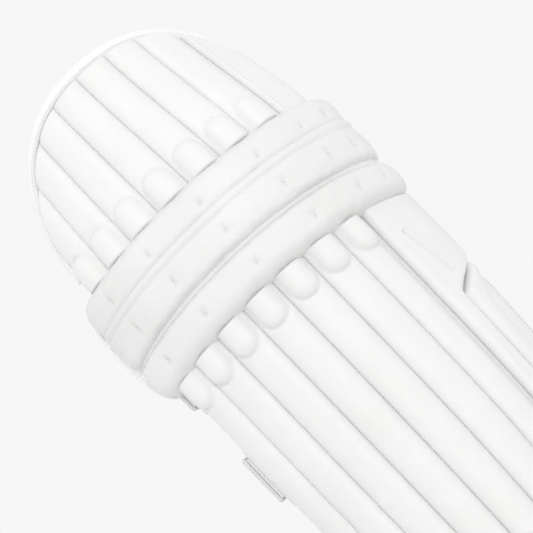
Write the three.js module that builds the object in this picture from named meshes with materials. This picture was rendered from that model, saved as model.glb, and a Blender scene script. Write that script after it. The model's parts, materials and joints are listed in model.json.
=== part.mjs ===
// A cricket batting leg pad, standing as it is worn. Millimetres, +Z up, the face looks along -Y.
// Every layer is laid out on one curved backing surface: s is the arc length across the pad from its
// centre line, z is the height and t is the distance out of the surface, towards the ball.
import * as THREE from "three";

// ---- Overall shape -------------------------------------------------------------------------------
const HEIGHT = 765;
// Plan section, as arcs that run outwards from the centre line.
const RIGHT_ARCS = [
  { radius: 170, length: 138 },
  { radius: 260, length: 52 },
  { radius: 70, length: 30 },
  { radius: 4000, length: 60 },
];
const LEFT_ARCS = [
  { radius: 170, length: 138 },
  { radius: 18, length: 14 },
  { radius: 4000, length: 90 },
];
// How the section changes with height: [z, value] pairs joined by a smooth curve.
const SECTION_SCALE = [[0, 0.93], [70, 0.91], [220, 0.98], [457, 1], [589, 1], [HEIGHT, 0.93]];
const FRONT_DEPTH = [[0, 0], [70, 8], [200, 14], [350, 9], [523, 0], [589, 3], [HEIGHT, 26]];
const SIDE_LEAN = [[0, 0], [560, 0], [HEIGHT, -7]];
const RIGHT_EDGE = [[0, 204], [90, 212], [220, 228], [330, 238], [HEIGHT, 238]];
const LEFT_EDGE = [[0, 192], [90, 196], [220, 208], [330, 214], [HEIGHT, 214]];

// ---- Layers, as distances t from the backing surface ---------------------------------------------
const FOAM_BACK = -12;
const LINING = { front: -12.3, back: -15 };
const SKIN = 1.7;
const LAYER_GAP = 0.6;
const EDGE_INSET = 4;

// ---- Channels, canes and finger pads -------------------------------------------------------------
const CHANNELS = 7;
const PITCH = 39.4;
const CHANNEL_RISE = 10.2;
const FACE_HALF = (CHANNELS * PITCH) / 2;
const CANE_RADIUS = 4.4;
const CANE_CENTRE = 5.5;
const CANE_STOP = 41;
const FINGER = { halfWidth: 12, length: 32, back: 1.2, edge: 11, top: 15.2, clear: 1.6 };
// The cover over a finger pad: how far it rises, the room round the pad and the length of its slope.
const FINGER_COVER = { rise: 6.4, room: 8, slope: 14, width: 0.9 };

// ---- Knee rolls: heights of the three rolls' seams on the centre line, lowest first ----------------
const SEAM_Z = [457, 504, 547, 589];
const SEAM_DROOP = [22, 24, 14, 8];
const DROOP_REACH = 222;
const ROLL = { left: -152, right: 222, height: 27, power: 2.8, skin: 2, endTaper: 40, endShare: 0.5 };
const FLEX_GAP = { front: 1, slope: 0.13, from: 48 };

// ---- Top hat outline: a superellipse in s and z ----------------------------------------------------
const DOME = { centre: 37, halfWidth: 186, base: 575, power: 2.25 };
const BINDING = { width: 6, front: 4.5, back: -15.5 };
const HAT_INSET = { cover: 4, foam: 1.6, cane: 24 };

// ---- Instep arch ---------------------------------------------------------------------------------
const ARCH = { height: 70, halfWidth: 82 };
const GUARD = { width: 42, back: 1.1, edge: 2, rise: 10 };

// ---- Side wings ----------------------------------------------------------------------------------
const WING_START = FACE_HALF + 3;
const STRIP_END = 166;
const WING_PAD = { bottom: 92, foot: 322, shoulder: 356, edge: 232, back: 1.9, skirt: 2, rise: 8.6 };
// The bolster below it is narrow up to one height and as wide as the wing above another.
const BOLSTER = { bottom: 20, start: STRIP_END + 2.5, edge: 197, narrow: 296, wide: 332, rim: 5 };
const BOLSTER_TOP = { start: 318, rake: 0.5 };

// ---- Padding against the leg ---------------------------------------------------------------------
const LEG_BOLSTER = { near: 92, far: 126, bottom: 84, top: 386, rise: 20 };
const KNEE_BOLSTER = { far: 96, bottom: 398, top: 436, rise: 18 };

// ---- Straps: [name, height of the centre, width] -------------------------------------------------
const STRAPS = [["knee", 449, 44], ["calf", 326, 60], ["ankle", 110, 52]];
const STRAP = { thickness: 3, centre: 8.4, tip: -158, bow: 26, hingeIn: 3, hingeBehind: 8, steps: 26 };
// Offsets from the inner wing's free edge of the points where a strap turns round it.
const STRAP_TURN = { behind: 12, points: [[10, 13], [1.5, 6]], lapFrom: 4 };
const HOOK_TAPE = { front: 6.1, back: 4.4, end: -200, fromEdge: 12, inset: 3 };
const LOOP_PATCH = { front: 3.9, back: 0.9, above: 5, below: 12, behind: 4, ahead: 2 };

// ---- Materials -----------------------------------------------------------------------------------
const paint = (color, roughness) => new THREE.MeshStandardMaterial({ color, roughness, metalness: 0 });
const MATERIALS = {
  leather: paint(0xf4f4f2, 0.5),
  binding: paint(0xf8f8f7, 0.4),
  foam: paint(0xe6e3da, 0.9),
  cane: paint(0xc9a66b, 0.6),
  lining: paint(0xededec, 0.85),
  webbing: paint(0xf1f1ef, 0.75),
  tape: paint(0xdededc, 0.95),
};

// ---- Surface -------------------------------------------------------------------------------------
const clamp = THREE.MathUtils.clamp;

// A smooth curve through [z, value] pairs, flat beyond its ends.
function curve(keys, z) {
  if (z <= keys[0][0]) return keys[0][1];
  const last = keys.length - 1;
  if (z >= keys[last][0]) return keys[last][1];
  const i = keys.findIndex(([keyZ]) => keyZ > z) - 1;
  const slope = (k) => {
    if (k === 0 || k === last) return 0;
    return (keys[k + 1][1] - keys[k - 1][1]) / (keys[k + 1][0] - keys[k - 1][0]);
  };
  const span = keys[i + 1][0] - keys[i][0];
  const f = (z - keys[i][0]) / span;
  const g = 1 - f;
  const start = keys[i][1] * (1 + 2 * f) + slope(i) * span * f;
  const end = keys[i + 1][1] * (1 + 2 * g) - slope(i + 1) * span * g;
  return start * g * g + end * f * f;
}

// The plan section at arc length s: a point and the outward normal.
function section(s) {
  const side = Math.sign(s) || 1;
  let left = Math.abs(s);
  let angle = 0;
  let x = 0;
  let y = 0;
  for (const { radius, length } of side > 0 ? RIGHT_ARCS : LEFT_ARCS) {
    const run = Math.min(left, length);
    const next = angle + run / radius;
    x += radius * (Math.sin(next) - Math.sin(angle));
    y += radius * (Math.cos(angle) - Math.cos(next));
    angle = next;
    left -= run;
  }
  return { x: side * x, y, nx: side * Math.sin(angle), ny: -Math.cos(angle) };
}

function at(s, z, t) {
  const { x, y, nx, ny } = section(s);
  const scale = curve(SECTION_SCALE, z);
  const leanX = curve(SIDE_LEAN, z);
  return new THREE.Vector3(leanX + scale * x + t * nx, curve(FRONT_DEPTH, z) + scale * y + t * ny, z);
}

// ---- Outlines ------------------------------------------------------------------------------------
const seam = (i, s) => SEAM_Z[i] - SEAM_DROOP[i] * (s / DROOP_REACH) ** 2;
// Half of the slot that lets the knee bend, which widens behind the flex axis.
const slot = (s) => (FLEX_GAP.front + FLEX_GAP.slope * Math.max(0, section(s).y - FLEX_GAP.from)) / 2;
const below = (i, drop = 0) => (s) => seam(i, s) - slot(s) - drop;
const above = (i, lift = 0) => (s) => seam(i, s) + slot(s) + lift;
const arch = (s) => ARCH.height * Math.max(0, 1 - (s / ARCH.halfWidth) ** 2) ** 0.75;
const dome = (s, inset = 0) => {
  const side = Math.min(1, Math.abs((s - DOME.centre) / (DOME.halfWidth - inset)));
  const rise = (1 - side ** DOME.power) ** (1 / DOME.power);
  return DOME.base + (HEIGHT - BINDING.width - inset - DOME.base) * rise;
};

// ---- Builders ------------------------------------------------------------------------------------
const lerp = (a, b, f) => a + (b - a) * f;
const steps = (count, a = 0, b = 1) => Array.from({ length: count + 1 }, (_, i) => lerp(a, b, i / count));
const rounded = (u, power = 2.6) => Math.max(0, 1 - Math.abs(u) ** power) ** (1 / power);

// A closed shell between two faces: front(u, v) and back(u, v) give points in the pad's frame.
function shell(us, vs, front, back) {
  const points = [front, back].flatMap((face) => us.flatMap((u) => vs.map((v) => face(u, v))));
  const id = (side, i, j) => side * us.length * vs.length + i * vs.length + j;
  const index = [];
  const quad = (a, b, c, d) => index.push(a, b, c, a, c, d);
  const nu = us.length - 1;
  const nv = vs.length - 1;
  for (let i = 0; i < nu; i++) {
    for (let j = 0; j < nv; j++) {
      quad(id(0, i, j), id(0, i + 1, j), id(0, i + 1, j + 1), id(0, i, j + 1));
      quad(id(1, i, j), id(1, i, j + 1), id(1, i + 1, j + 1), id(1, i + 1, j));
    }
    quad(id(1, i, 0), id(1, i + 1, 0), id(0, i + 1, 0), id(0, i, 0));
    quad(id(0, i, nv), id(0, i + 1, nv), id(1, i + 1, nv), id(1, i, nv));
  }
  for (let j = 0; j < nv; j++) {
    quad(id(1, 0, j + 1), id(1, 0, j), id(0, 0, j), id(0, 0, j + 1));
    quad(id(0, nu, j + 1), id(0, nu, j), id(1, nu, j), id(1, nu, j + 1));
  }
  const geometry = new THREE.BufferGeometry().setFromPoints(points);
  geometry.setIndex(index);
  return geometry;
}

// A shell over columns of s and rows of heights, where each row is a function of s.
function panel(columns, rows, frontT, backT) {
  const face = (t) => (s, row) => at(s, row(s), typeof t === "function" ? t(s, row(s)) : t);
  return shell(columns, rows, face(frontT), face(backT));
}

// Rows that divide the height between two outlines evenly.
const rowsBetween = (low, high, count) => steps(count).map((f) => (s) => lerp(low(s), high(s), f));

const pad = new THREE.Group();
function add(name, geometry, material) {
  geometry.computeVertexNormals();
  const mesh = new THREE.Mesh(geometry, MATERIALS[material]);
  mesh.name = name;
  pad.add(mesh);
}

// ---- Channelled face covers ----------------------------------------------------------------------
const BORE = { outer: 0.3, inner: 0.27 };
const CHANNEL_STEPS = [-1, -0.6, -BORE.outer, -BORE.inner, 0, BORE.inner, BORE.outer, 0.6];
const channelCentre = (c) => (c - (CHANNELS - 1) / 2) * PITCH;
const faceColumns = steps(CHANNELS - 1, 0, CHANNELS - 1)
  .flatMap((c) => CHANNEL_STEPS.map((q) => channelCentre(c) + (q * PITCH) / 2))
  .concat(FACE_HALF);

// How far the finger pads lift the cover at a distance from the knee rolls' edge.
const COVER_REACH = FINGER.length + FINGER_COVER.room;
function fingerLift(distance, q) {
  const along = clamp((COVER_REACH - distance) / FINGER_COVER.slope, 0, 1);
  return FINGER_COVER.rise * along * Math.max(0, 1 - (Math.abs(q) / FINGER_COVER.width) ** 3);
}

// Where s falls across its channel, from -1 to 1.
function acrossChannel(s) {
  const c = clamp(Math.floor((s + FACE_HALF) / PITCH), 0, CHANNELS - 1);
  return clamp((s - channelCentre(c)) / (PITCH / 2), -1, 1);
}

// A quilted cover: each channel is stuffed round a bore for its cane, and opens out over its finger pad.
function faceCover(rows, rollEdge) {
  const skinBack = (s, z) => {
    const q = acrossChannel(s);
    return LAYER_GAP + CHANNEL_RISE * Math.sqrt(1 - q * q) + fingerLift(Math.abs(z - rollEdge(s)), q);
  };
  const stuffingBack = (s, z) => {
    if (Math.abs(z - rollEdge(s)) < FINGER.length + FINGER_COVER.room / 2) return skinBack(s, z);
    return Math.abs(acrossChannel(s)) < BORE.outer - 0.01 ? CANE_CENTRE + CANE_RADIUS + LAYER_GAP : LAYER_GAP;
  };
  return panel(faceColumns, rows, (s, z) => skinBack(s, z) + SKIN, stuffingBack);
}

// Distances from the rolls' edge where the cover climbs over the finger pads.
const climb = [0, 0.5, 1].map((f) => COVER_REACH - f * FINGER_COVER.slope).concat(0);
const guardTop = (s) => arch(s) + GUARD.width + LAYER_GAP;
const lowerRollEdge = (s) => seam(0, s) - 0.6;
const upperRollEdge = (s) => seam(3, s) + 0.6;
const shinRows = rowsBetween((s) => guardTop(s) + LAYER_GAP, (s) => lowerRollEdge(s) - 1.5 * COVER_REACH, 4)
  .concat(climb.map((drop) => (s) => lowerRollEdge(s) - drop));
const hatTop = (s) => Math.max(dome(s, HAT_INSET.cover), upperRollEdge(s) + 1.15 * COVER_REACH);
const hatRows = climb.toReversed().map((lift) => (s) => upperRollEdge(s) + lift)
  .concat(rowsBetween((s) => upperRollEdge(s) + COVER_REACH, hatTop, 3).slice(1));
add("shin_face_cover", faceCover(shinRows, lowerRollEdge), "leather");
add("top_hat_face_cover", faceCover(hatRows, upperRollEdge), "leather");

// ---- Foam cores and linings ----------------------------------------------------------------------
const coreColumns = steps(2 * CHANNELS, -FACE_HALF, FACE_HALF)
  .concat(-ARCH.halfWidth, ARCH.halfWidth)
  .sort((a, b) => a - b);
const guardLine = (s) => arch(s) + GUARD.width;
const coreRows = rowsBetween(arch, guardLine, 2).concat(rowsBetween(guardLine, below(1), 6).slice(1));
add("shin_foam_core", panel(coreColumns, coreRows, 0, FOAM_BACK), "foam");
add("shin_lining", panel(coreColumns, coreRows, LINING.front, LINING.back), "lining");
const kneeColumns = steps(18, ROLL.left + EDGE_INSET, ROLL.right - EDGE_INSET);
add("knee_panel", panel(kneeColumns, rowsBetween(above(1), below(2), 1), 0, LINING.back), "foam");
const hatHalf = DOME.halfWidth - EDGE_INSET;
const hatColumns = steps(18, DOME.centre - hatHalf, DOME.centre + hatHalf);
const hatCoreRows = rowsBetween(above(2), (s) => dome(s, HAT_INSET.foam), 5);
add("top_hat_foam_core", panel(hatColumns, hatCoreRows, 0, FOAM_BACK), "foam");
add("top_hat_lining", panel(hatColumns.slice(1, -1), hatCoreRows, LINING.front, LINING.back), "lining");

// The plain leather flap beside the top hat's channels.
const flapColumns = steps(5, WING_START, DOME.centre + DOME.halfWidth - 6);
const flapTop = (s) => Math.max(dome(s, HAT_INSET.cover), upperRollEdge(s) + 6);
add("top_hat_flap_cover", panel(flapColumns, rowsBetween(upperRollEdge, flapTop, 4),
  LAYER_GAP + 1.5 * SKIN, LAYER_GAP), "leather");

// The binding wraps the edge of the top hat, from one end of the knee rolls to the other.
function domePoint(angle, out) {
  const bend = 2 / DOME.power;
  const c = Math.cos(angle);
  const across = Math.sign(c) * Math.abs(c) ** bend;
  const rise = Math.abs(Math.sin(angle)) ** bend;
  const s = DOME.centre + (DOME.halfWidth + out) * across;
  return [s, DOME.base + (HEIGHT - BINDING.width - DOME.base + out) * rise];
}
const bindingAngles = steps(30, Math.PI * 0.05, Math.PI * 0.953);
add("top_hat_binding", shell([0.5, BINDING.width], bindingAngles,
  (out, angle) => at(...domePoint(angle, out), BINDING.front),
  (out, angle) => at(...domePoint(angle, out), BINDING.back)), "binding");

// ---- Canes and finger pads, one of each in every channel -------------------------------------------
function cane(s, low, high) {
  const route = new THREE.CatmullRomCurve3(
    steps(4, low, high).map((z) => at(s, z, CANE_CENTRE)));
  const round = new THREE.Shape().absarc(0, 0, CANE_RADIUS, 0, Math.PI * 2);
  return new THREE.ExtrudeGeometry(round, { steps: 4, curveSegments: 4, extrudePath: route });
}

// A pad with a rounded free end; way is -1 below the rolls and 1 above them.
function finger(s, edgeZ, way) {
  const widthAt = (v) => FINGER.halfWidth * Math.sqrt(1 - (Math.max(0, v - 0.5) / 0.54) ** 2);
  const crown = (u, v) => (1 - 0.9 * Math.abs(u) ** 1.3) * (v > 0.9 ? 0.15 : 1);
  const place = (u, v, t) => at(s + u * widthAt(v), edgeZ + way * lerp(1, FINGER.length, v), t);
  const across = way > 0 ? [-1, -0.5, 0, 0.5, 1] : [1, 0.5, 0, -0.5, -1];
  return shell(across, [0, 0.5, 0.8, 1],
    (u, v) => place(u, v, lerp(FINGER.edge, FINGER.top, crown(u, v))), (u, v) => place(u, v, FINGER.back));
}

for (let c = 0; c < CHANNELS; c++) {
  const s = channelCentre(c);
  const label = c + 1;
  add(`shin_cane_${label}`, cane(s, guardTop(s) + 14, lowerRollEdge(s) - CANE_STOP), "cane");
  add(`top_hat_cane_${label}`, cane(s, upperRollEdge(s) + CANE_STOP, dome(s, HAT_INSET.cane)), "cane");
  add(`shin_finger_pad_${label}`, finger(s, lowerRollEdge(s) - FINGER.clear, -1), "foam");
  add(`top_hat_finger_pad_${label}`, finger(s, upperRollEdge(s) + FINGER.clear, 1), "foam");
}

// ---- Knee rolls ----------------------------------------------------------------------------------
// Each roll is a leather arch sewn down along both edges, over a stuffed core. inset shrinks the section.
function rollFace(i, inset, edgeT) {
  return (s, v) => {
    const low = above(i)(s) + inset;
    const high = below(i + 1)(s) - inset;
    const fromEnd = Math.min(s - ROLL.left, ROLL.right - s);
    const full = Math.sin((Math.PI / 2) * Math.min(1, fromEnd / ROLL.endTaper));
    const height = (ROLL.height - inset) * lerp(ROLL.endShare, 1, full);
    return at(s, lerp(low, high, (v + 1) / 2), edgeT + (height - edgeT) * rounded(v, ROLL.power));
  };
}
// Columns crowd towards the ends, where the roll tapers.
const endColumns = [0, 10, 28, 46];
const rollColumns = endColumns.map((d) => ROLL.left + d)
  .concat(steps(11, ROLL.left + 66, ROLL.right - 66), endColumns.toReversed().map((d) => ROLL.right - d));
const ROLL_V = [-1, -0.93, -0.65, 0, 0.65, 0.93, 1];
["lower", "middle", "upper"].forEach((label, i) => {
  const coreInset = ROLL.skin + 1;
  add(`knee_roll_${label}_cover`, shell(rollColumns, ROLL_V,
    rollFace(i, 0, LAYER_GAP + ROLL.skin), rollFace(i, ROLL.skin, LAYER_GAP)), "leather");
  const top = rollFace(i, coreInset, 2 * LAYER_GAP + 1);
  const bottom = (s, v) => at(s, top(s, v).z, LAYER_GAP);
  add(`knee_roll_${label}_core`, shell(rollColumns.slice(1, -1), ROLL_V.slice(1, -1), top, bottom), "foam");
});

// ---- Side wings ----------------------------------------------------------------------------------
const foot = () => 0;
// Panels whose far edge follows a curve: u runs from the sewn edge to the free edge.
function sidePanel(near, farAt, rows, frontT, backT, us = steps(6)) {
  const place = (u, row, t) => {
    const guess = lerp(near, farAt(row(near)), u);
    const z = row(guess);
    const s = lerp(near, farAt(z), u);
    return at(s, row(s), typeof t === "function" ? t(u, row) : t);
  };
  return shell(us, rows, (u, row) => place(u, row, frontT), (u, row) => place(u, row, backT));
}
const rightEdge = (z) => curve(RIGHT_EDGE, z);
const leftEdge = (z) => -curve(LEFT_EDGE, z);
const wingRows = rowsBetween(foot, below(1), 6);
add("outer_wing_panel", sidePanel(WING_START, rightEdge, wingRows, 0, FOAM_BACK), "leather");
// Columns crowd towards the sewn edge, where the section turns sharply.
const innerSteps = [1, 0.8, 0.5, 0.22, 0.14, 0.06, 0];
add("inner_wing_panel", sidePanel(-WING_START, leftEdge, wingRows, 0, FOAM_BACK, innerSteps), "leather");

// The moulded pad beside the knee narrows at its foot into a strip that runs down the shin.
const padEdge = (z) => {
  const f = clamp((z - WING_PAD.foot) / (WING_PAD.shoulder - WING_PAD.foot), 0, 1);
  return lerp(STRIP_END, WING_PAD.edge, f);
};
const padHeights = [
  ...steps(3, WING_PAD.bottom, WING_PAD.foot - 12),
  ...steps(4, WING_PAD.foot, WING_PAD.shoulder),
  ...steps(1, WING_PAD.shoulder + 25, WING_PAD.shoulder + 50),
];
const padRows = [...padHeights.map((z) => () => z), (s) => lowerRollEdge(s) - LAYER_GAP];
const pillowSteps = [0, 0.1, 0.25, 0.42, 0.58, 0.75, 0.9, 1];
const pillow = (u) => WING_PAD.back + WING_PAD.skirt + WING_PAD.rise * rounded(2 * u - 1, 3);
add("outer_wing_pad",
  sidePanel(WING_START + LAYER_GAP, padEdge, padRows, pillow, WING_PAD.back, pillowSteps), "leather");
const bolsterEdge = (z) => {
  const f = clamp((z - BOLSTER.narrow) / (BOLSTER.wide - BOLSTER.narrow), 0, 1);
  return lerp(BOLSTER.edge, rightEdge(z) - BOLSTER.rim, f);
};
const bolsterTop = (s) => BOLSTER_TOP.start + (s - STRIP_END) * BOLSTER_TOP.rake;
const bolsterRows = steps(3, BOLSTER.bottom, BOLSTER.narrow).map((z) => () => z)
  .concat(rowsBetween(() => BOLSTER.narrow, bolsterTop, 4).slice(1));
add("lower_wing_bolster",
  sidePanel(BOLSTER.start, bolsterEdge, bolsterRows, pillow, WING_PAD.back, pillowSteps), "leather");

// ---- Instep guard --------------------------------------------------------------------------------
add("instep_guard", shell(coreColumns, [0, 0.15, 0.5, 0.85, 1],
  (s, v) => at(s, arch(s) + v * GUARD.width, GUARD.back + GUARD.edge + GUARD.rise * rounded(2 * v - 1, 3)),
  (s, v) => at(s, arch(s) + v * GUARD.width, GUARD.back)), "leather");

// ---- Padding against the leg ---------------------------------------------------------------------
// A bolster inside the lining, between two values of s, with sides 2 mm deep.
function innerBolster(s0, s1, { bottom, top, rise }) {
  const depth = (u, v) => LINING.back - LAYER_GAP - 2 - (rise - 2) * rounded(u, 2.4) * rounded(v, 5);
  const place = (u, v, t) => at(lerp(s0, s1, (u + 1) / 2), lerp(bottom, top, (v + 1) / 2), t);
  return shell([-1, -0.9, -0.5, 0, 0.5, 0.9, 1], [-1, -0.9, -0.3, 0.3, 0.9, 1],
    (u, v) => place(u, v, LINING.back - LAYER_GAP), (u, v) => place(u, v, depth(u, v)));
}
add("inner_bolster_left", innerBolster(-LEG_BOLSTER.far, -LEG_BOLSTER.near, LEG_BOLSTER), "lining");
add("inner_bolster_right", innerBolster(LEG_BOLSTER.near, LEG_BOLSTER.far, LEG_BOLSTER), "lining");
add("knee_locator_bolster", innerBolster(-KNEE_BOLSTER.far, KNEE_BOLSTER.far, KNEE_BOLSTER), "lining");

// ---- Straps --------------------------------------------------------------------------------------
const planAt = (s, z, t) => {
  const p = at(s, z, t);
  return new THREE.Vector2(p.x, p.y);
};

// A strap's plan route at height z: it leaves its hinge line just behind the outer wing, passes behind
// the leg and laps round the inner wing on to its outside.
function strapRoute(z, hinge) {
  const corner = planAt(leftEdge(z), z, STRAP.centre);
  const behind = [0.2, 0.5, 0.8].map((f) => new THREE.Vector2(
    lerp(hinge.x, corner.x + STRAP_TURN.behind, f),
    lerp(hinge.y, corner.y + STRAP_TURN.behind, f) + STRAP.bow * Math.sin(Math.PI * f)));
  const turn = STRAP_TURN.points.map(([dx, dy]) => new THREE.Vector2(corner.x + dx, corner.y + dy));
  const lap = steps(5, leftEdge(z) + STRAP_TURN.lapFrom, STRAP.tip).map((s) => planAt(s, z, STRAP.centre));
  return new THREE.SplineCurve([hinge, ...behind, ...turn, ...lap]).getPoints(STRAP.steps);
}

// A band of even thickness that follows the route at every height.
function strap(low, high) {
  const edge = planAt(rightEdge((low + high) / 2), (low + high) / 2, FOAM_BACK / 2);
  const hinge = new THREE.Vector2(edge.x - STRAP.hingeIn, edge.y + STRAP.hingeBehind);
  const heights = [low, (low + high) / 2, high];
  const routes = new Map(heights.map((z) => [z, strapRoute(z, hinge)]));
  const place = (i, z, side) => {
    const route = routes.get(z);
    const along = route[Math.min(i + 1, STRAP.steps)].clone().sub(route[Math.max(i - 1, 0)]).normalize();
    const shift = (side * STRAP.thickness) / 2;
    return new THREE.Vector3(route[i].x + along.y * shift, route[i].y - along.x * shift, z);
  };
  return shell(steps(STRAP.steps, 0, STRAP.steps).map(Math.round), heights,
    (i, z) => place(i, z, 1), (i, z) => place(i, z, -1));
}

// A flat piece sewn over the inner wing.
function patch(s0, s1, low, high, { front, back }) {
  return shell(steps(3, s0, s1), steps(2, low, high), (s, z) => at(s, z, front), (s, z) => at(s, z, back));
}

for (const [name, z, width] of STRAPS) {
  const low = z - width / 2;
  const high = z + width / 2;
  const start = Math.max(leftEdge(z) + HOOK_TAPE.fromEdge, HOOK_TAPE.end);
  const inset = HOOK_TAPE.inset;
  add(`${name}_strap`, strap(low, high), "webbing");
  add(`${name}_hook_tape`, patch(start, STRAP.tip - inset, low + inset, high - inset, HOOK_TAPE), "tape");
  add(`${name}_loop_patch`, patch(start - LOOP_PATCH.behind, STRAP.tip + LOOP_PATCH.ahead,
    low - LOOP_PATCH.below, high + LOOP_PATCH.above, LOOP_PATCH), "tape");
}

// ---- Place the pad so that its bottom stands on z = 0 and its box is centred on x = 0 and y = 0 -----
const box = new THREE.Box3().setFromObject(pad);
const centre = box.getCenter(new THREE.Vector3());
pad.position.set(-centre.x, -centre.y, -box.min.z);

export default pad;
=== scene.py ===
"""The looks of a white cricket batting pad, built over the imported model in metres.

Every soft piece is laid out on the pad's curved backing surface, as in the model: s is the arc length across
the pad, z the height and t the distance out of the surface towards the ball, all in millimetres.
"""
import json
import math

import bpy
import numpy as np
from mathutils import Matrix, Vector


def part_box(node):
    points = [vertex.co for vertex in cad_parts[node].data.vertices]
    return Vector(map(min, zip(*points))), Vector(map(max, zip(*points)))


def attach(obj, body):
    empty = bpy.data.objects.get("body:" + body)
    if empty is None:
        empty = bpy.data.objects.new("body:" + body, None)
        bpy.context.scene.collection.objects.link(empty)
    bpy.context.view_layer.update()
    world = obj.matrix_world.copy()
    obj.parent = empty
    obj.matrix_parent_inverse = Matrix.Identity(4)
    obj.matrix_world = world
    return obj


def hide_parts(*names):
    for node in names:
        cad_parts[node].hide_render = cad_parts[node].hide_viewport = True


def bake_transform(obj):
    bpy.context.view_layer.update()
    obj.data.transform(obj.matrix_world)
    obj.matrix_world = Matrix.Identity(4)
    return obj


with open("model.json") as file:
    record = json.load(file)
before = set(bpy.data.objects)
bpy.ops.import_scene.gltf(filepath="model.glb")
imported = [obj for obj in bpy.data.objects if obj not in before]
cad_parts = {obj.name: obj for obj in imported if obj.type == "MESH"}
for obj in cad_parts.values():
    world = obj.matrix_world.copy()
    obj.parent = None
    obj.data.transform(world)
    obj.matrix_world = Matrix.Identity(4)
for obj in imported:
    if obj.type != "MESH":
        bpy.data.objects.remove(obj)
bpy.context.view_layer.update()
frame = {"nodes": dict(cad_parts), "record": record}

MM = 0.001
SHIN, KNEE, HAT = "shin_section", "knee_section", "top_hat"

# ---- The pad's own dimensions, as in the model ----
HEIGHT = 765
RIGHT_ARCS = [(170, 138), (260, 52), (70, 30), (4000, 60)]
LEFT_ARCS = [(170, 138), (18, 14), (4000, 90)]
SECTION_SCALE = [(0, 0.93), (70, 0.91), (220, 0.98), (457, 1), (589, 1), (HEIGHT, 0.93)]
FRONT_DEPTH = [(0, 0), (70, 8), (200, 14), (350, 9), (523, 0), (589, 3), (HEIGHT, 26)]
SIDE_LEAN = [(0, 0), (560, 0), (HEIGHT, -7)]
RIGHT_EDGE = [(0, 204), (90, 212), (220, 228), (330, 238), (HEIGHT, 238)]
LEFT_EDGE = [(0, 192), (90, 196), (220, 208), (330, 214), (HEIGHT, 214)]
FOAM_BACK, LINING_BACK = -12, -15
CHANNELS, PITCH = 7, 39.4
FACE_HALF = CHANNELS * PITCH / 2
SEAMS = [(c - CHANNELS / 2) * PITCH for c in range(CHANNELS + 1)]
SEAM_Z = [457, 504, 547, 589]
SEAM_DROOP = [22, 24, 14, 8]
DROOP_REACH = 222
ROLL_LEFT, ROLL_RIGHT, ROLL_HEIGHT = -152, 222, 27
DOME_CENTRE, DOME_HALF, DOME_BASE, DOME_POWER, DOME_RISE = 37, 186, 575, 2.25, 184
ARCH_HEIGHT, ARCH_HALF = 70, 82
GUARD_WIDTH = 42
WING_START = FACE_HALF + 3


def curve(keys, z):
    """A smooth curve through (z, value) pairs, flat beyond its ends."""
    k = np.array(keys, float)
    slope = np.zeros(len(k))
    slope[1:-1] = (k[2:, 1] - k[:-2, 1]) / (k[2:, 0] - k[:-2, 0])
    i = np.clip(np.searchsorted(k[:, 0], z, "right") - 1, 0, len(k) - 2)
    span = k[i + 1, 0] - k[i, 0]
    f = np.clip((z - k[i, 0]) / span, 0, 1)
    g = 1 - f
    start = k[i, 1] * (1 + 2 * f) + slope[i] * span * f
    end = k[i + 1, 1] * (1 + 2 * g) - slope[i + 1] * span * g
    return start * g * g + end * f * f


def walk(arcs, length):
    """Distance along and across, and the angle turned, after that length of a chain of arcs."""
    left = np.array(length, float)
    angle, x, y = np.zeros_like(left), np.zeros_like(left), np.zeros_like(left)
    for radius, arc in arcs:
        run = np.minimum(left, arc)
        turned = angle + run / radius
        x += radius * (np.sin(turned) - np.sin(angle))
        y += radius * (np.cos(angle) - np.cos(turned))
        angle = turned
        left = left - run
    return x, y, angle


def section(s):
    """The plan section's point and outward normal at arc length s."""
    right, left = walk(RIGHT_ARCS, np.maximum(s, 0)), walk(LEFT_ARCS, np.maximum(-s, 0))
    side = np.where(s < 0, -1.0, 1.0)
    x, y, angle = (np.where(s < 0, b, a) for a, b in zip(right, left))
    return side * x, y, side * np.sin(angle), -np.cos(angle)


# The section's own origin in the part's frame, from the middle cane and the face's foremost point.
FOREMOST_Z, FOREMOST_T = 456.4, 18.9
ORIGIN_X = (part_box("shin_cane_4")[0][0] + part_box("shin_cane_4")[1][0]) / 2 / MM
ORIGIN_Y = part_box("shin_face_cover")[0][1] / MM - (curve(FRONT_DEPTH, FOREMOST_Z) - FOREMOST_T)


def at(s, z, t):
    """Points of the pad in metres, for arrays of s, z and t."""
    s, z, t = np.broadcast_arrays(s, z, t)
    x, y, nx, ny = section(s)
    scale = curve(SECTION_SCALE, z)
    px = ORIGIN_X + curve(SIDE_LEAN, z) + scale * x + t * nx
    py = ORIGIN_Y + curve(FRONT_DEPTH, z) + scale * y + t * ny
    return np.stack([px, py, z], -1) * MM


def seam_z(i, s):
    return SEAM_Z[i] - SEAM_DROOP[i] * (s / DROOP_REACH) ** 2


def slot(s):
    return (1 + 0.13 * np.maximum(0, section(s)[1] - 48)) / 2


def arch(s):
    return ARCH_HEIGHT * np.maximum(0, 1 - (s / ARCH_HALF) ** 2) ** 0.75


def dome(s, inset=0.0):
    side = np.clip(np.abs((s - DOME_CENTRE) / (DOME_HALF - inset)), 0, 1)
    return DOME_BASE + (DOME_RISE - inset) * (1 - side ** DOME_POWER) ** (1 / DOME_POWER)


# ---- Small tools ----
def ramp(x, low, high):
    """0 below low, 1 above high and smooth between."""
    f = np.clip((x - low) / (high - low), 0, 1)
    return f * f * (3 - 2 * f)


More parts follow.
